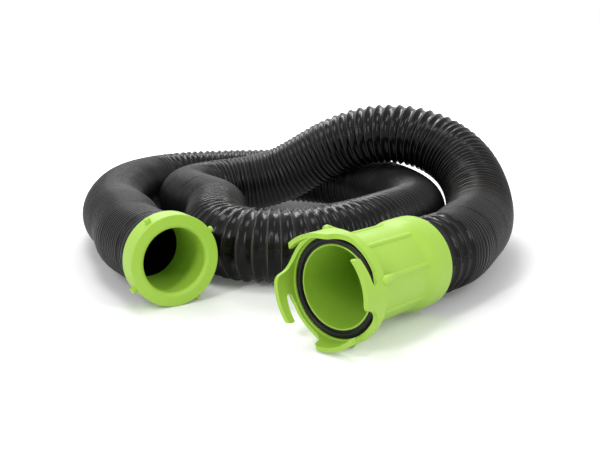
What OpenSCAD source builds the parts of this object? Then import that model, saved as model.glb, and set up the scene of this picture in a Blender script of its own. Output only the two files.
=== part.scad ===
// Sewer hose kit: a ribbed drain hose laid in two loops, with a swivelling bayonet coupler on
// one end and a swivelling lug fitting on the other. The coupler's hooks take the pins of a
// lug fitting. Millimetres, +Z up. The origin lies on the ground, under the middle of the two
// fittings, and both fittings open towards -Y.

/* [Hose] */
// Outside diameter over the ribs
hose_d = 90; // [89:0.5:91]
// Clear diameter of the bore
hose_bore_d = 76; // [72:0.5:77]
// Depth of the grooves between the ribs
rib_depth = 2.2; // [1:0.1:2.5]
// Number of ribs along the hose
rib_count = 180; // [90:1:186]

/* [Inner sleeves] */
// Outside diameter of the bayonet's inner sleeve at its mouth
mouth_d = 85; // [83:0.5:87]
// Wall of both inner sleeves
sleeve_wall = 1.8; // [1.4:0.1:2.4]
// Length of the tails that the hose is pushed over
tail_l = 37; // [25:1:60]
// Width of the O-rings' round section
o_ring_w = 3; // [2.6:0.1:3.2]
// Thickness of the split retaining rings
snap_t = 2; // [1.5:0.1:2.4]
// Thickness of the shoulder that stops the hose
shoulder_t = 3; // [2:0.5:6]

/* [Bayonet coupler] */
// Wall of the barrel
barrel_wall = 3.2; // [2.6:0.1:4.2]
// Length from the mouth to the end of the barrel's bore
barrel_l = 101; // [85:0.5:130]
// Wall of the collar round the hose
collar_wall = 4.4; // [2.6:0.1:5]
// Length of the collar behind the bore
collar_l = 29; // [15:0.5:45]
// Thickness of the flange that carries the hooks
flange_t = 10; // [6:0.5:14]
// How far the flange stands ahead of the mouth
flange_lead = 5; // [4:0.5:6]
// Number of ribs along the barrel
grip_count = 8; // [4:1:12]
// Width of each barrel rib
grip_w = 6.4; // [4:0.2:8]
// Radius of the rounded nose on every other barrel rib
nose_r = 5; // [3.6:0.1:6]
// Width of the sealing gasket
gasket_w = 7.8; // [6.5:0.1:8.2]

/* [Hooks] */
// Wall of the hooks
hook_wall = 4.5; // [3.5:0.1:6]
// How far the hooks reach ahead of the mouth
hook_reach = 25.7; // [23:0.1:30]
// Length of each hook from its back to its tip
hook_l = 48.8; // [42:0.1:52]
// Length of the slot from the hook's tip to its closed end
slot_l = 26.9; // [22:0.1:29]
// Turn of the coupler at rest
hook_turn = 13; // [5:1:20]

/* [Lug fitting] */
// Outside diameter of the lug ring
lug_ring_d = 103; // [101:0.5:105]
// Length of the lug ring
lug_ring_l = 25.5; // [23:0.5:32]
// Thickness of the ring's front wall
lug_front_t = 7; // [6:0.5:9]
// Radius of the lip round the opening
lip_r = 5; // [3:0.5:5.5]
// Diameter of the locking pins
pin_d = 7.2; // [6.4:0.1:8]
// How far the pins stand out of the ring
pin_h = 5.3; // [4:0.1:6]
// Distance from the face to the middle of the pins
pin_back = 9; // [8.5:0.1:10]
// Depth of the green sleeve from the lug's face
lug_sleeve_l = 77; // [50:1:90]
// Length of the rubber cuff behind the lug ring
cuff_l = 16; // [8:0.5:24]
// Wall of the rubber cuff
cuff_wall = 2.6; // [1.6:0.1:3.4]
// Turn of the lug ring at rest
lug_turn = 30; // [20:1:44]

/* [Hidden] */

lime = [0.62, 0.82, 0.26];
black = [0.11, 0.11, 0.12];
steel = [0.75, 0.76, 0.78];

// Clearances: running is between turning faces, free is between parts that stay clear
running_gap = 0.08;
free_gap = 0.4;
snug_gap = 0.1;
axial_gap = 0.3;
hook_gap = 1;
round_fn = 96;
small_fn = 32;

// Both fittings: the mouth's centre in plan, the way it faces and its upward tilt
bayonet_plan = [60, -68];
bayonet_turn = -41.5;
bayonet_tilt = 1.6;
lug_plan = [-109.4, 40.6];
lug_aim = 33;
lug_tilt = 1;

// Inner sleeves
mouth_r = mouth_d / 2;
tail_r = hose_bore_d / 2 - 0.2;
throat_r = tail_r - sleeve_wall;
edge_r = 1.2;

// Bayonet, measured along its axis from the mouth, with the way out positive
seal_z = 2;
snap_front = -1.9;
snap_back = snap_front - snap_t;
ledge_z = seal_z - 0.2;
barrel_front = snap_back - axial_gap;
barrel_back = -barrel_l;
shoulder_z = barrel_back - o_ring_w - axial_gap;
hose_stop = shoulder_z - shoulder_t;
cone_front = shoulder_z + 23;
collar_back = barrel_back - collar_l;
flange_back = flange_lead - flange_t;
swell_back = barrel_back - 6.3;
swell_front = swell_back + 22;
barrel_bore_r = mouth_r + running_gap;
barrel_r = barrel_bore_r + barrel_wall;
collar_bore_r = hose_d / 2 + 0.8;
collar_r = collar_bore_r + collar_wall;
hook_in_r = lug_ring_d / 2 + hook_gap;
hook_r = hook_in_r + hook_wall;
gasket_in_r = mouth_r + 0.05;
gasket_r = gasket_in_r + gasket_w;
snap_depth = 1;
grip_r = grip_w / 2;
grip_out = 1.9;
grip_angle = hook_turn + 4.5;
nose_top = hook_r + 3.6;
nose_at = [nose_top - nose_r, flange_back];
nose_l = 30;

// Hooks, drawn flat: x runs along the rim from the hook's own mark, y along the axis
lug_count = 4;
hook_tip = 30.2;
hook_back = hook_tip - hook_l;
slot_end_r = pin_d / 2 + 0.15;
slot_end = [hook_tip - slot_l + slot_end_r, pin_back + seal_z];
slot_flare = 3;
hook_corner_r = 8;
tip_r = 2;
root_r = 16;

// Lug fitting, measured from its face
ring_r = lug_ring_d / 2;
pin_tip_r = ring_r + pin_h;
lug_seal = -lug_front_t - snug_gap;
lug_flange_z = lug_seal - o_ring_w - 0.05;
lug_flange_t = 4;
lug_flange_back = lug_flange_z - lug_flange_t;
lug_snap_front = lug_flange_back - 0.25;
lug_snap_back = lug_snap_front - snap_t;
lug_stop = lug_snap_back - 2.6;
lug_bore_r = throat_r + 0.1;
cavity_r = ring_r - 4;
step_r = cavity_r - 4.5;
cuff_z = -lug_ring_l - axial_gap;
cuff_r = hose_d / 2 + 0.2 + cuff_wall;

// Heights at which the lowest rib nose and the lug ring just touch the ground
bayonet_h = nose_at[0] * cos(grip_angle) * cos(bayonet_tilt) + nose_r - nose_at[1] * sin(bayonet_tilt);
lug_low_r = max(ring_r - edge_r, pin_tip_r * cos(lug_turn) + pin_d / 2 * sin(lug_turn) - edge_r);
lug_h = lug_low_r * cos(lug_tilt) + edge_r + (lug_ring_l - edge_r) * sin(lug_tilt);
bayonet_at = [bayonet_plan[0], bayonet_plan[1], bayonet_h];
lug_at = [lug_plan[0], lug_plan[1], lug_h];

// Route of the hose's middle: x, y and the height of its underside above the ground
bayonet_out = outward(bayonet_turn, bayonet_tilt);
lug_out = outward(lug_aim, lug_tilt);
straight_run = [0, 46, 95, 112];
bends = [
    [230, 150, 9], [265, 235, 0], [280, 325, 25], [265, 385, 63], [210, 425, 92],
    [135, 455, 93], [65, 480, 62], [-5, 495, 11], [-85, 485, 0], [-145, 440, 0],
    [-145, 370, 0], [-85, 305, 4], [-85, 225, 0], [-75, 150, 0], [-10, 115, 0],
    [75, 150, 0], [140, 230, 0], [190, 295, 0], [190, 375, 0], [165, 465, 0],
    [110, 545, 0], [20, 585, 0], [-90, 585, 0], [-190, 550, 0], [-245, 470, 0],
    [-245, 370, 0], [-230, 275, 0], [-195, 205, 8]
];
route = concat(
    [for (q = straight_run) bayonet_at + (hose_stop - q) * bayonet_out],
    [for (p = bends) [p[0], p[1], p[2] + hose_d / 2]],
    [for (i = [3:-1:0]) lug_at + (lug_stop - straight_run[i]) * lug_out]
);
// Share of the ribs against share of the length: pulled out along the front strand and the
// back, pushed together in the bends
stretch = [
    [0, 0], [0.03, 0.03], [0.17, 0.16], [0.31, 0.3], [0.46, 0.44],
    [0.53, 0.53], [0.71, 0.7], [0.81, 0.82], [0.95, 0.94], [1, 1]
];

hose_sides = 8;
path_steps = 8;

function outward(turn, tilt) = [sin(turn) * cos(tilt), -cos(turn) * cos(tilt), sin(tilt)];

function arc(c, r, a0, a1, n = 8) =
    [for (i = [0:n]) let (a = a0 + (a1 - a0) * i / n) c + r * [cos(a), sin(a)]];

function smooth(t) = t * t * (3 - 2 * t);

// A fitting's own axis lies along +Z, with Y up, until it is set down here
module at_bayonet() {
    translate(bayonet_at) rotate([0, 0, bayonet_turn]) rotate([90 - bayonet_tilt, 0, 0]) children();
}

module at_lug() {
    translate(lug_at) rotate([0, 0, lug_aim]) rotate([90 - lug_tilt, 0, 0]) children();
}

module turned(outline) {
    rotate_extrude($fn = round_fn) polygon(outline);
}

// A flat ring with a gap cut through it
module split_ring(in_r, out_r, back, front, gap_angle) {
    rotate([0, 0, 90 + gap_angle / 2]) rotate_extrude(angle = 360 - gap_angle, $fn = round_fn)
        translate([in_r, back]) square([out_r - in_r, front - back]);
}

module o_ring(in_r, front) {
    rotate_extrude($fn = round_fn) translate([in_r + o_ring_w / 2, front - o_ring_w / 2])
        circle(d = o_ring_w, $fn = small_fn);
}

// Bayonet

module bayonet_sleeve() {
    groove_r = mouth_r - snap_depth;
    tail_end = hose_stop - tail_l;
    color(lime) at_bayonet() turned([
        [mouth_r - sleeve_wall, 0], [mouth_r - 0.4, 0], [mouth_r, -0.4],
        [mouth_r, snap_front + snug_gap], [groove_r, snap_front + snug_gap],
        [groove_r, snap_back - snug_gap], [mouth_r, snap_back - snug_gap],
        [mouth_r, shoulder_z], [hose_d / 2, shoulder_z], [hose_d / 2, hose_stop],
        [tail_r, hose_stop], [tail_r, tail_end + 1], [tail_r - 0.8, tail_end],
        [throat_r, tail_end], [throat_r, shoulder_z], [mouth_r - sleeve_wall, cone_front]
    ]);
}

module coupler_skin() {
    turned(concat(
        [[20, flange_lead], [hook_r - 0.6, flange_lead], [hook_r, flange_lead - 0.6],
         [hook_r, flange_back + 1]],
        arc([hook_r - 1, flange_back + 1], 1, 0, -90, 4),
        arc([barrel_r + 4, flange_back - 4], 4, 90, 180, 6),
        [for (i = [0:10]) let (t = i / 10)
            [barrel_r + (collar_r - barrel_r) * smooth(t), swell_front + (swell_back - swell_front) * t]],
        arc([collar_r - edge_r, collar_back + edge_r], edge_r, 0, -90, 4),
        [[20, collar_back]]
    ));
}

module grip_rib() {
    rib_l = flange_back - 7 - swell_front + 6;
    translate([barrel_r + grip_out - grip_r, 0, swell_front - 6]) {
        cylinder(r = grip_r, h = rib_l, $fn = small_fn);
        translate([0, 0, rib_l]) sphere(r = grip_r, $fn = small_fn);
    }
}

// The raised nose of a rib: a ball beside the flange and a cone that runs down into the rib
module rib_nose() {
    drop = nose_at[0] - (barrel_r + grip_out - grip_r);
    translate([nose_at[0], 0, nose_at[1]]) {
        sphere(r = nose_r, $fn = small_fn);
        rotate([0, 180 + atan2(drop, nose_l), 0])
            cylinder(r1 = nose_r, r2 = grip_r, h = norm([drop, nose_l]), $fn = small_fn);
    }
}

module hook_outline() {
    low = flange_lead - 1;
    slot_low = slot_end[1] - slot_end_r;
    slot_high = slot_end[1] + slot_end_r;
    corner_x = hook_back + hook_corner_r;
    lean = acos(1 - (hook_reach - flange_lead) / (root_r + hook_corner_r));
    root_x = corner_x - (root_r + hook_corner_r) * sin(lean);
    polygon(concat(
        [[root_x, low]],
        arc([root_x, flange_lead + root_r], root_r, -90, lean - 90),
        arc([corner_x, hook_reach - hook_corner_r], hook_corner_r, lean + 90, 90),
        arc([hook_tip - tip_r, hook_reach - tip_r], tip_r, 90, 0, 4),
        arc([hook_tip - tip_r, slot_high + slot_flare + tip_r], tip_r, 0, -80, 4),
        arc(slot_end, slot_end_r, 90, 270, 12),
        [[slot_end[0] + 8, flange_lead], [slot_end[0] + 8, low]]
    ));
}

module hook() {
    intersection() {
        rotate([90, 0, 90]) linear_extrude(hook_r + 10) hook_outline();
        rotate_extrude($fn = round_fn) translate([hook_in_r, flange_lead - 2])
            square([hook_wall, hook_reach]);
    }
}

module coupler_bore() {
    turned([
        [0, hook_reach + 5], [hook_in_r, hook_reach + 5], [hook_in_r, ledge_z],
        [gasket_r + free_gap + 0.5, ledge_z], [gasket_r + free_gap, ledge_z - 0.5],
        [gasket_r + free_gap, barrel_front], [barrel_bore_r, barrel_front],
        [barrel_bore_r, barrel_back], [collar_bore_r, barrel_back],
        [collar_bore_r, collar_back + 0.8], [collar_bore_r + 0.8, collar_back],
        [collar_bore_r + 0.8, collar_back - 5], [0, collar_back - 5]
    ]);
}

module bayonet_coupler() {
    color(lime) at_bayonet() difference() {
        union() {
            coupler_skin();
            for (k = [0:grip_count - 1]) rotate([0, 0, grip_angle + k * 360 / grip_count]) grip_rib();
            for (k = [0:lug_count - 1]) {
                rotate([0, 0, hook_turn + k * 360 / lug_count]) hook();
                rotate([0, 0, grip_angle + k * 360 / lug_count]) rib_nose();
            }
        }
        coupler_bore();
    }
}

module bayonet_gasket() {
    color(black) at_bayonet() rotate_extrude($fn = round_fn) {
        translate([gasket_in_r, snap_front + snug_gap]) square([gasket_w, -snap_front - snug_gap]);
        translate([gasket_in_r + gasket_w / 2 + 0.3, 0.2]) circle(r = 2.4, $fn = small_fn);
    }
}

module bayonet_retaining_ring() {
    color(steel) at_bayonet()
        split_ring(mouth_r - snap_depth + 0.05, mouth_r + 3.2, snap_back, snap_front, 14);
}

module bayonet_o_ring() {
    color(black) at_bayonet() o_ring(mouth_r + snug_gap, barrel_back - axial_gap + 0.05);
}

// Lug fitting

module lug_sleeve() {
    tail_end = -lug_sleeve_l;
    color(lime) at_lug() turned([
        [throat_r, lug_seal - 0.2], [tail_r - 0.4, lug_seal - 0.2], [tail_r, lug_seal - 0.6],
        [tail_r, lug_flange_z], [cavity_r - running_gap, lug_flange_z],
        [cavity_r - running_gap, lug_flange_back], [step_r, lug_flange_back], [step_r, lug_stop],
        [tail_r, lug_stop], [tail_r, tail_end + 1], [tail_r - 0.8, tail_end], [throat_r, tail_end]
    ]);
}

module lug_ring_skin() {
    turned(concat(
        [[20, 0]],
        arc([ring_r - edge_r, -edge_r], edge_r, 90, 0, 4),
        arc([ring_r - edge_r, -lug_ring_l + edge_r], edge_r, 0, -90, 4),
        [[20, -lug_ring_l]]
    ));
}

module lug_pin() {
    rotate([0, 90, 0]) {
        cylinder(d = pin_d, h = pin_tip_r - 0.7, $fn = small_fn);
        translate([0, 0, pin_tip_r - 0.7]) cylinder(d1 = pin_d, d2 = pin_d - 1.4, h = 0.7, $fn = small_fn);
    }
}

module lug_ring() {
    groove_r = cavity_r + 1.6;
    color(lime) at_lug() difference() {
        union() {
            lug_ring_skin();
            for (k = [0:lug_count - 1]) rotate([0, 0, lug_turn + k * 360 / lug_count])
                translate([0, 0, -pin_back]) lug_pin();
        }
        turned(concat(
            [[0, 5], [lug_bore_r + lip_r, 5]],
            arc([lug_bore_r + lip_r, -lip_r], lip_r, 90, 180),
            [[lug_bore_r, -lug_front_t], [cavity_r, -lug_front_t],
             [cavity_r, lug_snap_front + snug_gap], [groove_r, lug_snap_front + snug_gap],
             [groove_r, lug_snap_back - snug_gap], [cavity_r, lug_snap_back - snug_gap],
             [cavity_r, -lug_ring_l - 5], [0, -lug_ring_l - 5]]
        ));
    }
}

module lug_retaining_ring() {
    color(steel) at_lug()
        split_ring(step_r + axial_gap, cavity_r + 1.5, lug_snap_back, lug_snap_front, 14);
}

module lug_o_ring() {
    color(black) at_lug() o_ring(tail_r + 0.05, lug_seal);
}

module lug_hose_cuff() {
    in_r = hose_d / 2 + 0.2;
    ridge_l = cuff_l / 2;
    color(black) at_lug() turned(concat(
        [[in_r, cuff_z], [cuff_r - 0.8, cuff_z]],
        [for (k = [0:1], p = arc([cuff_r + 1 - ridge_l / 2, cuff_z - ridge_l * (k + 0.5)],
            ridge_l / 2 - 0.4, 60, -60, 4)) p],
        [[cuff_r - 0.8, cuff_z - cuff_l], [in_r, cuff_z - cuff_l]]
    ));
}

// Hose: one ribbed tube along the route, with an octagon's corner straight below its middle

last_piece = len(route) - 2;

// The route's control points, with one more beyond each end
knots = concat([2 * route[0] - route[1]], route, [2 * route[last_piece + 1] - route[last_piece]]);

function spline(t) = let (i = min(floor(t), last_piece), u = t - i)
    (pow(1 - u, 3) * knots[i] + (3 * u * u * u - 6 * u * u + 4) * knots[i + 1]
     + (-3 * u * u * u + 3 * u * u + 3 * u + 1) * knots[i + 2] + u * u * u * knots[i + 3]) / 6;

function slope(t) = let (i = min(floor(t), last_piece), u = t - i)
    -pow(1 - u, 2) * knots[i] + (3 * u * u - 4 * u) * knots[i + 1]
    + (-3 * u * u + 2 * u + 1) * knots[i + 2] + u * u * knots[i + 3];

function running_sum(v) = [for (i = 0, s = 0; i <= len(v); s = s + (i < len(v) ? v[i] : 0), i = i + 1) s];

path_t = [for (i = [0:(last_piece + 1) * path_steps]) i / path_steps];
path_p = [for (t = path_t) spline(t)];
path_s = running_sum([for (i = [1:len(path_p) - 1]) norm(path_p[i] - path_p[i - 1])]);
hose_l = path_s[len(path_s) - 1];
t_at = [for (i = [0:len(path_t) - 1]) [path_s[i], path_t[i]]];

function hose_t(share) = lookup(hose_l * lookup(share, stretch), t_at);

// One ring of corners round the hose's middle
function hose_ring(share, r) = let (
        t = hose_t(share), d = slope(t), along = d / norm(d),
        across = cross(along, [0, 0, 1]), side = across / norm(across), up = cross(side, along)
    ) [for (j = [0:hose_sides - 1]) let (a = 360 * j / hose_sides)
        spline(t) + r * (cos(a) * side + sin(a) * up)];

// Triangles that join ring n of a tube to the next ring
function band(first, n) = [for (j = [0:hose_sides - 1])
    let (k = (j + 1) % hose_sides, a = first + n * hose_sides, b = a + hose_sides)
    each [[a + j, b + k, b + j], [a + j, a + k, b + k]]];

function flipped(faces) = [for (f = faces) [f[2], f[1], f[0]]];

module sewer_hose() {
    crest_r = hose_d / 2;
    valley_r = crest_r - rib_depth;
    bore_r = hose_bore_d / 2 / cos(180 / hose_sides);
    outer_count = 2 * rib_count;
    outer = [for (i = [0:outer_count]) each hose_ring(i / outer_count, i % 2 == 0 ? crest_r : valley_r)];
    inner = [for (i = [0:rib_count]) each hose_ring(i / rib_count, bore_r)];
    inner_0 = len(outer);
    end_outer = outer_count * hose_sides;
    end_inner = inner_0 + rib_count * hose_sides;
    faces = concat(
        [for (i = [0:outer_count - 1]) each band(0, i)],
        flipped([for (i = [0:rib_count - 1]) each band(inner_0, i)]),
        [for (j = [0:hose_sides - 1]) let (k = (j + 1) % hose_sides)
            each [[j, inner_0 + j, inner_0 + k], [j, inner_0 + k, k]]],
        [for (j = [0:hose_sides - 1]) let (k = (j + 1) % hose_sides)
            each [[end_outer + j, end_inner + k, end_inner + j], [end_outer + j, end_outer + k, end_inner + k]]]
    );
    color(black) polyhedron(points = concat(outer, inner), faces = faces, convexity = 10);
}

// Least gap of the hose to itself, between middles that lie more than two diameters apart
gap_steps = 2 * rib_count;
middles = [for (i = [0:gap_steps]) spline(hose_t(i / gap_steps))];
middle_s = [for (i = [0:gap_steps]) hose_l * lookup(i / gap_steps, stretch)];
self_gap = min([for (i = [0:gap_steps], j = [i + 1:gap_steps])
    if (middle_s[j] - middle_s[i] > 2.2 * hose_d) norm(middles[j] - middles[i])]) - hose_d;
echo(hose_length = hose_l, least_self_gap = self_gap);

sewer_hose();
bayonet_sleeve();
bayonet_coupler();
bayonet_gasket();
bayonet_retaining_ring();
bayonet_o_ring();
lug_sleeve();
lug_ring();
lug_retaining_ring();
lug_o_ring();
lug_hose_cuff();
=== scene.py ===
import math
import random

import bpy
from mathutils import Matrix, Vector


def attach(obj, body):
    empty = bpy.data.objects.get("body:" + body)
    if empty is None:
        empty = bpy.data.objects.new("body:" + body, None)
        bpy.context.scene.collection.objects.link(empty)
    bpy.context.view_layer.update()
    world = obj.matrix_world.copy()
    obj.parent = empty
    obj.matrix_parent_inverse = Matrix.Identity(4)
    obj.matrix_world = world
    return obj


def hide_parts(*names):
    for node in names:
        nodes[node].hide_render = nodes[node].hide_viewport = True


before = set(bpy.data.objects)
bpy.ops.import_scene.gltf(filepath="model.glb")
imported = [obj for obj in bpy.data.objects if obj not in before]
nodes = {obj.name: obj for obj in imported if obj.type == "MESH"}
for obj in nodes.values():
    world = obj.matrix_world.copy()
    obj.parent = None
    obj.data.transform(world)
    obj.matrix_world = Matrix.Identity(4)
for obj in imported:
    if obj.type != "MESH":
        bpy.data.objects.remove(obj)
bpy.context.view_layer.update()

print("sewer hose kit: frame loaded, %d nodes" % len(nodes))


# in node trees, a value that is a node or a socket is linked, and any other is typed in
def setInput(tree, socket, value):
    if isinstance(value, bpy.types.Node):
        value = value.outputs[0]
    if isinstance(value, bpy.types.NodeSocket):
        tree.links.new(value, socket)
    else:
        socket.default_value = value


def addNode(tree, kind, inputs=None, **options):
    node = tree.nodes.new(kind)
    for name, value in options.items():
        setattr(node, name, value)
    for name, value in (inputs or {}).items():
        setInput(tree, node.inputs[name], value)
    return node


def addMath(tree, operation, *values):
    return addNode(tree, "ShaderNodeMath", dict(enumerate(values)), operation=operation)


def mapRange(tree, value, fromLow, fromHigh, toLow, toHigh):
    ends = {"Value": value, "From Min": fromLow, "From Max": fromHigh, "To Min": toLow, "To Max": toHigh}
    return addNode(tree, "ShaderNodeMapRange", ends)


# camera, in front of the two fittings
cameraSettings = {
    "place": (0.0256, -0.8074, 0.3063),
    "downTilt": 14.16,
    "lens": 48.756,
    "sensor": 36.0,
    "clipStart": 0.01,
}


def makeCamera(settings):
    camera = bpy.data.cameras.new("frontCamera")
    camera.lens = settings["lens"]
    camera.sensor_width = settings["sensor"]
    camera.clip_start = settings["clipStart"]
    holder = bpy.data.objects.new("frontCamera", camera)
    holder.location = settings["place"]
    holder.rotation_euler = (math.radians(90 - settings["downTilt"]), 0, 0)
    bpy.context.scene.collection.objects.link(holder)
    bpy.context.scene.camera = holder


makeCamera(cameraSettings)
print("camera in place")

# where the fittings stand: the mouth's centre, the way it faces and its upward tilt
fittingSettings = {
    "bayonet": {"mouth": (0.060, -0.068, 0.0581456), "turn": -41.5, "tilt": 1.6},
    "lug": {"mouth": (-0.1094, 0.0406, 0.0519164), "turn": 33.0, "tilt": 1.0},
}


def wayOut(fitting):
    turn, tilt = math.radians(fitting["turn"]), math.radians(fitting["tilt"])
    return Vector((math.sin(turn) * math.cos(tilt), -math.cos(turn) * math.cos(tilt), math.sin(tilt)))


def onAxis(name, depth):
    fitting = fittingSettings[name]
    return Vector(fitting["mouth"]) + depth * wayOut(fitting)


# hose: its route and where its ribs lie
hoseSettings = {
    "diameter": 0.090,
    "bore": 0.076,
    # places on a fitting's axis, measured from its mouth, with the way out positive
    "bayonetStop": -0.1073,
    "collarEnd": -0.130,
    "lugStop": -0.0190,
    # how far the hose goes on straight behind each stop
    "straightRun": (0.0, 0.046, 0.095, 0.112),
    # plan and the height of the hose's underside above the ground
    "bends": [
        (0.230, 0.150, 0.009), (0.265, 0.235, 0), (0.280, 0.325, 0.025), (0.265, 0.385, 0.063),
        (0.210, 0.425, 0.092), (0.135, 0.455, 0.093), (0.065, 0.480, 0.062), (-0.005, 0.495, 0.011),
        (-0.085, 0.485, 0), (-0.145, 0.440, 0), (-0.145, 0.370, 0), (-0.085, 0.305, 0.004),
        (-0.085, 0.225, 0), (-0.075, 0.150, 0), (-0.010, 0.115, 0), (0.075, 0.150, 0),
        (0.140, 0.230, 0), (0.190, 0.295, 0), (0.190, 0.375, 0), (0.165, 0.465, 0),
        (0.110, 0.545, 0), (0.020, 0.585, 0), (-0.090, 0.585, 0), (-0.190, 0.550, 0),
        (-0.245, 0.470, 0), (-0.245, 0.370, 0), (-0.230, 0.275, 0), (-0.195, 0.205, 0.008),
    ],
    # share of the length and the distance between ribs there
    "ribPitch": [
        (0.0, 0.0165), (0.025, 0.0165), (0.029, 0.0052), (0.085, 0.0055), (0.105, 0.0085),
        (0.170, 0.0085), (0.190, 0.0135), (0.225, 0.0135), (0.245, 0.0080), (0.290, 0.0075),
        (0.330, 0.0085), (0.345, 0.0054), (0.405, 0.0054), (0.425, 0.0080), (0.450, 0.0110),
        (0.465, 0.0120), (0.520, 0.0125), (0.540, 0.0080), (0.575, 0.0065), (0.595, 0.0054),
        (0.650, 0.0054), (0.670, 0.0090), (0.700, 0.0090), (0.750, 0.0100), (0.795, 0.0110),
        (0.807, 0.0085), (0.815, 0.0054), (0.960, 0.0054), (1.0, 0.0058),
    ],
    "pitchSpread": 0.10,
    "gapShare": 0.07,  # ribs that stand a little apart where the others touch
    "gapStretch": 0.3,
    "touchingPitch": 0.006,
    "seed": 11,
    "boreStep": 0.020,
    "exitRise": 0.015,
}


# a smooth line that the points pull towards themselves, from the first to the last
def smoothCurve(points, steps=16):
    first, last = 2 * points[0] - points[1], 2 * points[-1] - points[-2]
    knots = [first, *points, last]
    line = []
    for i in range(len(knots) - 3):
        a, b, c, d = knots[i:i + 4]
        for step in range(steps + (i == len(knots) - 4)):
            u = step / steps
            line.append(((1 - u) ** 3 * a + (3 * u ** 3 - 6 * u ** 2 + 4) * b
                         + (-3 * u ** 3 + 3 * u ** 2 + 3 * u + 1) * c + u ** 3 * d) / 6)
    return line


def between(table, value):
    for (x0, y0), (x1, y1) in zip(table, table[1:]):
        if value <= x1:
            return y0 + (y1 - y0) * (value - x0) / (x1 - x0)
    return table[-1][1]


def hoseRoute(settings):
    radius = settings["diameter"] / 2
    run = settings["straightRun"]
    points = [onAxis("bayonet", settings["bayonetStop"] - q) for q in run]
    points += [Vector((x, y, lift + radius)) for x, y, lift in settings["bends"]]
    points += [onAxis("lug", settings["lugStop"] - q) for q in reversed(run)]
    return smoothCurve(points)


# points on the line at the given distances from its start, which rise
def along(line, places):
    found, i, before = [], 0, 0.0
    for place in places:
        while i < len(line) - 2 and before + (line[i + 1] - line[i]).length < place:
            before += (line[i + 1] - line[i]).length
            i += 1
        piece = line[i + 1] - line[i]
        found.append(line[i] + piece * ((place - before) / piece.length))
    return found


# up to which pitch, and where the rings of one rib lie from its crest to the next
ribPhases = [
    (0.0065, (0.0, 0.25, 0.40, 0.50, 0.60, 0.75)),
    (0.0125, (0.0, 0.12, 0.26, 0.40, 0.50, 0.60, 0.74, 0.88)),
    (1.0, (0.0, 0.06, 0.13, 0.25, 0.38, 0.50, 0.62, 0.75, 0.87, 0.94)),
]


def ribRings(settings, length):
    chance = random.Random(settings["seed"])
    rings, place, rib = [], 0.0, 0
    while place < length:
        pitch = between(settings["ribPitch"], place / length)
        phases = next(row for widest, row in ribPhases if pitch < widest)
        gap = 1.0 if chance.random() < settings["gapShare"] else 0.0
        stretch = settings["gapStretch"] * gap if pitch < settings["touchingPitch"] else 0.0
        pitch *= 1 + settings["pitchSpread"] * chance.uniform(-1, 1) + stretch
        rings += [(place + pitch * p, rib + p, pitch, gap) for p in phases]
        place += pitch
        rib += 1
    scale = length / place
    return [(at * scale, *rest) for at, *rest in rings] + [(length, float(rib), pitch, 0.0)]


# the centres of the hose's rings as two lines: the ribs outside, then the bore with its two rims
def makeHoseLine(settings):
    line = hoseRoute(settings)
    length = sum((b - a).length for a, b in zip(line, line[1:]))
    rings = ribRings(settings, length)
    boreCount = round(length / settings["boreStep"])
    boreRings = [(0.0, 1)] + [(length * i / boreCount, 0) for i in range(boreCount + 1)] + [(length, 1)]
    outerRadius, boreRadius = settings["diameter"] / 2, settings["bore"] / 2
    centres = along(line, [r[0] for r in rings]) + along(line, [r[0] for r in boreRings])
    edges = [(i, i + 1) for i in range(len(centres) - 1) if i != len(rings) - 1]
    mesh = bpy.data.meshes.new("hoseLine")
    mesh.from_pydata(centres, edges, [])
    noRib = [0.0] * len(boreRings)
    boreRadii = [outerRadius if rim else boreRadius for _, rim in boreRings]
    values = {
        "ringRadius": [outerRadius] * len(rings) + boreRadii,
        "phase": [r[1] for r in rings] + noRib,
        "pitch": [r[2] for r in rings] + noRib,
        "gap": [r[3] for r in rings] + noRib,
    }
    for name, numbers in values.items():
        mesh.attributes.new(name, "FLOAT", "POINT").data.foreach_set("value", numbers)
    holder = bpy.data.objects.new("hoseLine", mesh)
    bpy.context.scene.collection.objects.link(holder)
    return holder, line, length


# inputs of the tree below: what the ribs look like, from pushed together to pulled out
ribSettings = {
    "Sides": 36,
    "Narrow pitch": 0.0054,
    "Wide pitch": 0.0130,
    "Narrow groove": 0.0013,
    "Wide groove": 0.0034,
    "Gap groove": 0.0012,
    "Wire height": 0.0007,
    "Wire width": 0.0010,
    "Wrinkle": 0.0028,
    "Wrinkle scale": 110.0,
    "Weld": 0.00002,
}


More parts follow.
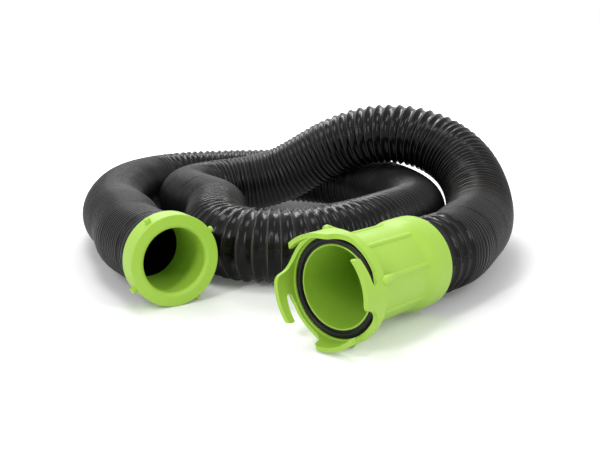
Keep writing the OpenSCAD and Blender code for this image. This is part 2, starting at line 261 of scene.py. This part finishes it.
def ribbedHoseTree(settings):
    tree = bpy.data.node_groups.new("ribbedHose", "GeometryNodeTree")
    tree.interface.new_socket("Line", in_out="INPUT", socket_type="NodeSocketGeometry")
    for name, value in settings.items():
        kind = "NodeSocketInt" if isinstance(value, int) else "NodeSocketFloat"
        tree.interface.new_socket(name, in_out="INPUT", socket_type=kind)
    tree.interface.new_socket("Material", in_out="INPUT", socket_type="NodeSocketMaterial")
    tree.interface.new_socket("Hose", in_out="OUTPUT", socket_type="NodeSocketGeometry")
    given = tree.nodes.new("NodeGroupInput").outputs
    boreMark = 0.0001  # the bore's rings have no pitch, so they lie below this

    def readValue(name):
        return addNode(tree, "GeometryNodeInputNamedAttribute", {"Name": name}, data_type="FLOAT")

    def times(a, b):
        return addMath(tree, "MULTIPLY", a, b)

    def less(a, b):
        return addMath(tree, "SUBTRACT", a, b)

    def storeValue(geometry, name, value):
        inputs = {"Geometry": geometry, "Name": name, "Value": value}
        return addNode(tree, "GeometryNodeStoreNamedAttribute", inputs, data_type="FLOAT", domain="POINT")

    pitch = readValue("pitch")
    outside = addMath(tree, "GREATER_THAN", pitch, boreMark)
    # 1 where the hose is pulled out, 0 where it is pushed together
    pulled = mapRange(tree, pitch, given["Narrow pitch"], given["Wide pitch"], 0.0, 1.0)
    depth = addMath(tree, "MULTIPLY_ADD", pulled, less(given["Wide groove"], given["Narrow groove"]),
                    given["Narrow groove"])
    # 0 on a rib's crest, 1 in the middle between two ribs
    cycle = addMath(tree, "FRACT", addMath(tree, "ADD", readValue("phase"), 0.5))
    offCrest = times(addMath(tree, "ABSOLUTE", less(cycle, 0.5)), 2.0)
    # pushed together, the ribs touch in a sharp groove; pulled out, the film sags from wire to wire
    pushedDrop = addMath(tree, "POWER", offCrest, 3.0)
    pulledDrop = less(1.0, addMath(tree, "POWER", less(1.0, offCrest), 2.0))
    drop = addMath(tree, "MULTIPLY_ADD", pulled, less(pulledDrop, pushedDrop), pushedDrop)
    deeper = times(times(readValue("gap"), less(1.0, pulled)), times(given["Gap groove"], pushedDrop))
    # the wire stands up as a narrow bead, measured by the distance from the crest
    reach = addMath(tree, "DIVIDE", times(times(offCrest, pitch), 0.5), given["Wire width"])
    wire = addMath(tree, "EXPONENT", times(times(reach, reach), -1.0))
    wireDrop = times(times(less(1.0, wire), given["Wire height"]), pulled)
    drop = addMath(tree, "ADD", addMath(tree, "MULTIPLY_ADD", drop, depth, deeper), wireDrop)
    radius = less(readValue("ringRadius"), times(drop, outside))

    curve = addNode(tree, "GeometryNodeMeshToCurve", {"Mesh": given["Line"]})
    curve = storeValue(curve, "wire", times(wire, outside))
    # the groove's depth, kept as a mask for the painted shade in the vinyl
    curve = storeValue(curve, "groove", times(pushedDrop, outside))
    curve = storeValue(curve, "pulled", pulled)
    curve = addNode(tree, "GeometryNodeSetCurveNormal", {"Curve": curve}, mode="Z_UP")
    circle = addNode(tree, "GeometryNodeCurvePrimitiveCircle",
                     {"Resolution": given["Sides"], "Radius": 1.0})
    circle = storeValue(circle, "round", addNode(tree, "GeometryNodeSplineParameter"))
    tube = addNode(tree, "GeometryNodeCurveToMesh",
                   {"Curve": curve, "Profile Curve": circle, "Scale": radius})
    # loose film between the wires
    noise = addNode(tree, "ShaderNodeTexNoise",
                    {"Scale": given["Wrinkle scale"], "Detail": 1.0, "Roughness": 0.5})
    slack = times(times(readValue("pulled"), less(1.0, readValue("wire"))),
                  addMath(tree, "GREATER_THAN", readValue("pitch"), boreMark))
    swell = times(times(less(noise, 0.5), slack), given["Wrinkle"])
    normal = addNode(tree, "GeometryNodeInputNormal")
    offset = addNode(tree, "ShaderNodeVectorMath", {0: normal, "Scale": swell}, operation="SCALE")
    tube = addNode(tree, "GeometryNodeSetPosition", {"Geometry": tube, "Offset": offset})
    inside = addMath(tree, "LESS_THAN", readValue("pitch"), boreMark)
    tube = addNode(tree, "GeometryNodeFlipFaces", {"Mesh": tube, "Selection": inside})
    tube = addNode(tree, "GeometryNodeMergeByDistance", {"Geometry": tube, "Distance": given["Weld"]})
    tube = addNode(tree, "GeometryNodeSetShadeSmooth", {"Geometry": tube})
    tube = addNode(tree, "GeometryNodeRealizeInstances", {"Geometry": tube})
    tube = addNode(tree, "GeometryNodeSetMaterial", {"Geometry": tube, "Material": given["Material"]})
    out = tree.nodes.new("NodeGroupOutput")
    tree.links.new(tube.outputs[0], out.inputs["Hose"])
    return tree


def bakeTree(holder, tree, values, name):
    modifier = holder.modifiers.new(tree.name, "NODES")
    modifier.node_group = tree
    for item in tree.interface.items_tree:
        if item.in_out == "INPUT" and item.name in values:
            modifier[item.identifier] = values[item.name]
    bpy.context.view_layer.update()
    evaluated = holder.evaluated_get(bpy.context.evaluated_depsgraph_get())
    mesh = bpy.data.meshes.new_from_object(evaluated)
    mesh.name = name
    holder.modifiers.remove(modifier)
    bpy.data.objects.remove(holder)
    piece = bpy.data.objects.new(name, mesh)
    bpy.context.scene.collection.objects.link(piece)
    return piece


# what the finishes share
def newMaterial(name):
    material = bpy.data.materials.new(name)
    material.use_nodes = True
    tree = material.node_tree
    return material, tree, tree.nodes["Principled BSDF"]


def addNoise(tree, place, scale, detail, roughness=0.5, distortion=0.0):
    return addNode(tree, "ShaderNodeTexNoise", {
        "Vector": place, "Scale": scale, "Detail": detail, "Roughness": roughness, "Distortion": distortion})


def mixColours(tree, share, low, high):
    mix = addNode(tree, "ShaderNodeMix", data_type="RGBA")
    setInput(tree, mix.inputs["Factor"], share)
    for name, value in (("A", low), ("B", high)):
        colour = value if isinstance(value, bpy.types.NodeSocket) else (*value, 1)
        setInput(tree, mix.inputs[name], colour)
    return mix.outputs["Result"]


def addBump(tree, skin, height, strength, distance):
    bump = addNode(tree, "ShaderNodeBump", {"Height": height, "Strength": strength, "Distance": distance})
    setInput(tree, skin.inputs["Normal"], bump)


vinylSettings = {
    "film": (0.0035, 0.0035, 0.0036),
    # painted sheen: a lighter, bluish grey for ribs pushed together, standing in for their satin sheen
    "pushed": (0.0060, 0.0060, 0.0066),
    # painted shade: the near-black tone laid into the grooves between pushed-together ribs
    "groove": (0.002, 0.002, 0.002),
    "wire": (0.070, 0.062, 0.055),
    "specular": 0.17,
    "filmRoughness": 0.15,
    "pushedRoughness": 0.37,
    "dustRoughness": 0.10,
    "rubbedRoughness": 0.3,
    "grooveShade": 0.8,
    "foldsPerRib": 0.9,
    "foldsRound": 16.0,
    "grainScale": 1400.0,
    "grainHeight": 0.02,
    "dustScale": 18.0,
    "bumpStrength": 0.45,
    "bumpDepth": 0.0016,
    # from which to which pull
    "filmShows": (0.0, 0.5),
    "filmShines": (0.0, 0.6),
    "wireShows": (0.03, 0.35),
}


def makeVinyl(settings):
    material, tree, skin = newMaterial("hoseVinyl")

    def readValue(name):
        return addNode(tree, "ShaderNodeAttribute", attribute_name=name).outputs["Fac"]

    def times(a, b):
        return addMath(tree, "MULTIPLY", a, b)

    pulled, wire, groove = readValue("pulled"), readValue("wire"), readValue("groove")
    place = addNode(tree, "ShaderNodeTexCoord").outputs["Object"]
    # folds run along the hose from wire to wire
    foldPlace = addNode(tree, "ShaderNodeCombineXYZ", {
        "X": times(readValue("phase"), settings["foldsPerRib"]),
        "Y": times(readValue("round"), settings["foldsRound"])})
    folds = addNoise(tree, foldPlace, 1.0, 3.0, roughness=0.55, distortion=0.7)
    slack = times(pulled, addMath(tree, "SUBTRACT", 1.0, wire))
    grain = times(addNoise(tree, place, settings["grainScale"], 2.0), settings["grainHeight"])
    height = addMath(tree, "ADD", times(folds, slack), grain)
    addBump(tree, skin, height, settings["bumpStrength"], settings["bumpDepth"])
    dust = addNoise(tree, place, settings["dustScale"], 4.0, roughness=0.6)
    # bare film is darkest, ribs pushed together are a little greyer with a blue tint, a painted satin sheen,
    # and a wire's crest is rubbed pale
    bare = mapRange(tree, pulled, *settings["filmShows"], 0.0, 1.0)
    plain = mixColours(tree, bare, settings["pushed"], settings["film"])
    # painted shade: the grooves between pushed-together ribs are darkened towards the groove tone
    plain = mixColours(tree, times(groove, settings["grooveShade"]), plain, settings["groove"])
    bead = mapRange(tree, pulled, *settings["wireShows"], 0.0, 1.0)
    rubbed = times(times(addMath(tree, "POWER", wire, 3.0), bead),
                   mapRange(tree, dust, 0.35, 0.7, 0.5, 1.0))
    setInput(tree, skin.inputs["Base Color"], mixColours(tree, rubbed, plain, settings["wire"]))
    rough = mapRange(tree, pulled, *settings["filmShines"], settings["pushedRoughness"],
                     settings["filmRoughness"])
    rough = addMath(tree, "MULTIPLY_ADD", dust, settings["dustRoughness"], rough)
    rough = addMath(tree, "MULTIPLY_ADD", rubbed, settings["rubbedRoughness"], rough)
    setInput(tree, skin.inputs["Roughness"], rough)
    skin.inputs["Specular IOR Level"].default_value = settings["specular"]
    return material


plasticSettings = {
    "face": (0.335, 0.575, 0.045),
    "pale": (0.375, 0.610, 0.065),
    "cloudScale": 14.0,
    "grainScale": 1100.0,
    "roughness": 0.42,
    "grainRoughness": 0.10,
    "bumpStrength": 0.12,
    "bumpDepth": 0.0002,
    # light that goes a little way in
    "softness": 0.06,
    "softReach": (0.6, 1.0, 0.2),
    "softScale": 0.002,
}


def makePlastic(settings):
    material, tree, skin = newMaterial("limePlastic")
    place = addNode(tree, "ShaderNodeTexCoord").outputs["Object"]
    cloud = addNoise(tree, place, settings["cloudScale"], 3.0)
    grain = addNoise(tree, place, settings["grainScale"], 2.0)
    share = mapRange(tree, cloud, 0.3, 0.7, 0.0, 1.0)
    setInput(tree, skin.inputs["Base Color"], mixColours(tree, share, settings["face"], settings["pale"]))
    rough = addMath(tree, "MULTIPLY_ADD", grain, settings["grainRoughness"], settings["roughness"])
    setInput(tree, skin.inputs["Roughness"], rough)
    addBump(tree, skin, grain, settings["bumpStrength"], settings["bumpDepth"])
    skin.inputs["Subsurface Weight"].default_value = settings["softness"]
    skin.inputs["Subsurface Radius"].default_value = settings["softReach"]
    skin.inputs["Subsurface Scale"].default_value = settings["softScale"]
    return material


rubberSettings = {
    "sealRubber": {"tone": (0.004, 0.004, 0.0043), "roughness": 0.32, "grainScale": 900.0},
    "cuffRubber": {"tone": (0.009, 0.009, 0.0095), "roughness": 0.42, "grainScale": 700.0},
    "paler": 1.6,
    "patchScale": 40.0,
    "grainRoughness": 0.16,
    "bumpStrength": 0.25,
    "bumpDepth": 0.0002,
    "specular": 0.25,
}


def makeRubber(name, settings):
    material, tree, skin = newMaterial(name)
    own = settings[name]
    place = addNode(tree, "ShaderNodeTexCoord").outputs["Object"]
    grain = addNoise(tree, place, own["grainScale"], 3.0)
    patch = addNoise(tree, place, settings["patchScale"], 2.0).outputs[0]
    pale = [settings["paler"] * c for c in own["tone"]]
    setInput(tree, skin.inputs["Base Color"], mixColours(tree, patch, own["tone"], pale))
    rough = addMath(tree, "MULTIPLY_ADD", grain, settings["grainRoughness"], own["roughness"])
    setInput(tree, skin.inputs["Roughness"], rough)
    addBump(tree, skin, grain, settings["bumpStrength"], settings["bumpDepth"])
    skin.inputs["Specular IOR Level"].default_value = settings["specular"]
    return material


steelSettings = {"tone": (0.60, 0.61, 0.63), "roughness": (0.22, 0.38), "brushScale": 600.0}


def makeSteel(settings):
    material, tree, skin = newMaterial("ringSteel")
    place = addNode(tree, "ShaderNodeTexCoord").outputs["Object"]
    brush = addNoise(tree, place, settings["brushScale"], 2.0)
    setInput(tree, skin.inputs["Roughness"], mapRange(tree, brush, 0.3, 0.7, *settings["roughness"]))
    skin.inputs["Base Color"].default_value = (*settings["tone"], 1)
    skin.inputs["Metallic"].default_value = 1.0
    return material


limePlastic = makePlastic(plasticSettings)
sealRubber = makeRubber("sealRubber", rubberSettings)
cuffRubber = makeRubber("cuffRubber", rubberSettings)
ringSteel = makeSteel(steelSettings)
finishes = {
    "bayonet_sleeve": limePlastic, "bayonet_coupler": limePlastic,
    "lug_sleeve": limePlastic, "lug_ring": limePlastic,
    "bayonet_gasket": sealRubber, "bayonet_o_ring": sealRubber, "lug_o_ring": sealRubber,
    "lug_hose_cuff": cuffRubber,
    "bayonet_retaining_ring": ringSteel, "lug_retaining_ring": ringSteel,
}
for name, material in finishes.items():
    mesh = nodes[name].data
    if mesh.materials:
        for i in range(len(mesh.materials)):
            mesh.materials[i] = material
    else:
        mesh.materials.append(material)
print("finishes made")

hoseLine, route, hoseLength = makeHoseLine(hoseSettings)
ribInputs = {**ribSettings, "Material": makeVinyl(vinylSettings)}
hose = bakeTree(hoseLine, ribbedHoseTree(ribSettings), ribInputs, "ribbedHose")
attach(hose, "hose_line")
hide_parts("sewer_hose")
print("hose made: %.3f m, %d faces" % (hoseLength, len(hose.data.polygons)))

# floor and world
stageSettings = {
    "floorTone": (0.86, 0.86, 0.86),
    "floorRoughness": 0.9,
    "floorSize": 60.0,
    "world": 0.55,
    # how much white the ground adds where it is seen or mirrored, and over which distances it grows; this
    # painted light is least inside the loops and lightens the hose's shadow beside them
    "nearLift": 0.07,
    "sideLift": 0.30,
    "farLift": 1.0,
    "loopsMiddle": (0.01, 0.27, 0.0),
    "besideLoops": (0.26, 0.42),
    "behindLoops": (0.5, 2.2),
    "farAway": (1.1, 2.4),
}


def makeFloor(settings):
    half = settings["floorSize"] / 2
    mesh = bpy.data.meshes.new("floor")
    corners = [(-half, -half, 0), (half, -half, 0), (half, half, 0), (-half, half, 0)]
    mesh.from_pydata(corners, [], [(0, 1, 2, 3)])
    floor = bpy.data.objects.new("floor", mesh)
    bpy.context.scene.collection.objects.link(floor)
    material, tree, skin = newMaterial("paleFloor")
    skin.inputs["Base Color"].default_value = (*settings["floorTone"], 1)
    skin.inputs["Roughness"].default_value = settings["floorRoughness"]
    skin.inputs["Emission Color"].default_value = (1, 1, 1, 1)
    seen = addNode(tree, "ShaderNodeLightPath")
    shown = addMath(tree, "MAXIMUM", seen.outputs["Is Camera Ray"], seen.outputs["Is Glossy Ray"])
    spot = addNode(tree, "ShaderNodeTexCoord").outputs["Object"]
    # painted light: the ground glows least inside the loops, more beside them, where it lightens the hose's
    # shadow, and white behind them
    fromMiddle = {0: spot, 1: settings["loopsMiddle"]}
    aside = addNode(tree, "ShaderNodeVectorMath", fromMiddle, operation="DISTANCE")
    near = mapRange(tree, aside.outputs["Value"], *settings["besideLoops"], settings["nearLift"],
                    settings["sideLift"])
    back = addNode(tree, "ShaderNodeSeparateXYZ", {"Vector": spot}).outputs["Y"]
    lift = mapRange(tree, back, *settings["behindLoops"], near, settings["farLift"])
    # far away it is white on every side
    away = addNode(tree, "ShaderNodeVectorMath", {0: spot}, operation="LENGTH").outputs["Value"]
    farLift = mapRange(tree, away, *settings["farAway"], 0.0, settings["farLift"])
    lift = addMath(tree, "MAXIMUM", lift, farLift)
    setInput(tree, skin.inputs["Emission Strength"], addMath(tree, "MULTIPLY", shown, lift))
    mesh.materials.append(material)


# white where it is seen or mirrored, dimmer as a light
def makeWorld(settings):
    world = bpy.data.worlds.new("paleRoom")
    world.use_nodes = True
    tree = world.node_tree
    seen = addNode(tree, "ShaderNodeLightPath").outputs
    mirrored = addMath(tree, "MAXIMUM", seen["Is Glossy Ray"], seen["Is Transmission Ray"])
    white = addMath(tree, "MAXIMUM", seen["Is Camera Ray"], mirrored)
    background = tree.nodes["Background"]
    background.inputs["Color"].default_value = (1, 1, 1, 1)
    setInput(tree, background.inputs["Strength"], mapRange(tree, white, 0.0, 1.0, settings["world"], 1.0))
    bpy.context.scene.world = world


lampSettings = {
    "backSoftbox": {"place": (-0.3, 1.7, 1.5), "aim": (0.0, 0.25, 0.0), "size": (1.6, 0.6), "watts": 24},
    "topSoftbox": {"place": (-0.2, 0.1, 1.8), "aim": (0.0, 0.25, 0.0), "size": (0.7, 0.5), "watts": 8},
    "leftStrip": {"place": (-0.9, -1.2, 1.3), "aim": (0.0, 0.1, 0.05), "size": (0.18, 0.9), "watts": 12},
    "rightStrip": {"place": (1.2, -0.9, 1.3), "aim": (0.0, 0.1, 0.05), "size": (0.18, 0.9), "watts": 8},
}


def makeLamps(settings):
    for name, lamp in settings.items():
        light = bpy.data.lights.new(name, "AREA")
        light.shape = "RECTANGLE"
        light.size, light.size_y = lamp["size"]
        light.energy = lamp["watts"]
        holder = bpy.data.objects.new(name, light)
        holder.location = lamp["place"]
        toward = Vector(lamp["aim"]) - Vector(lamp["place"])
        holder.rotation_euler = toward.to_track_quat("-Z", "Y").to_euler()
        bpy.context.scene.collection.objects.link(holder)


makeFloor(stageSettings)
makeWorld(stageSettings)
makeLamps(lampSettings)
bpy.context.scene.view_settings.view_transform = "Standard"
print("floor and lamps in place")
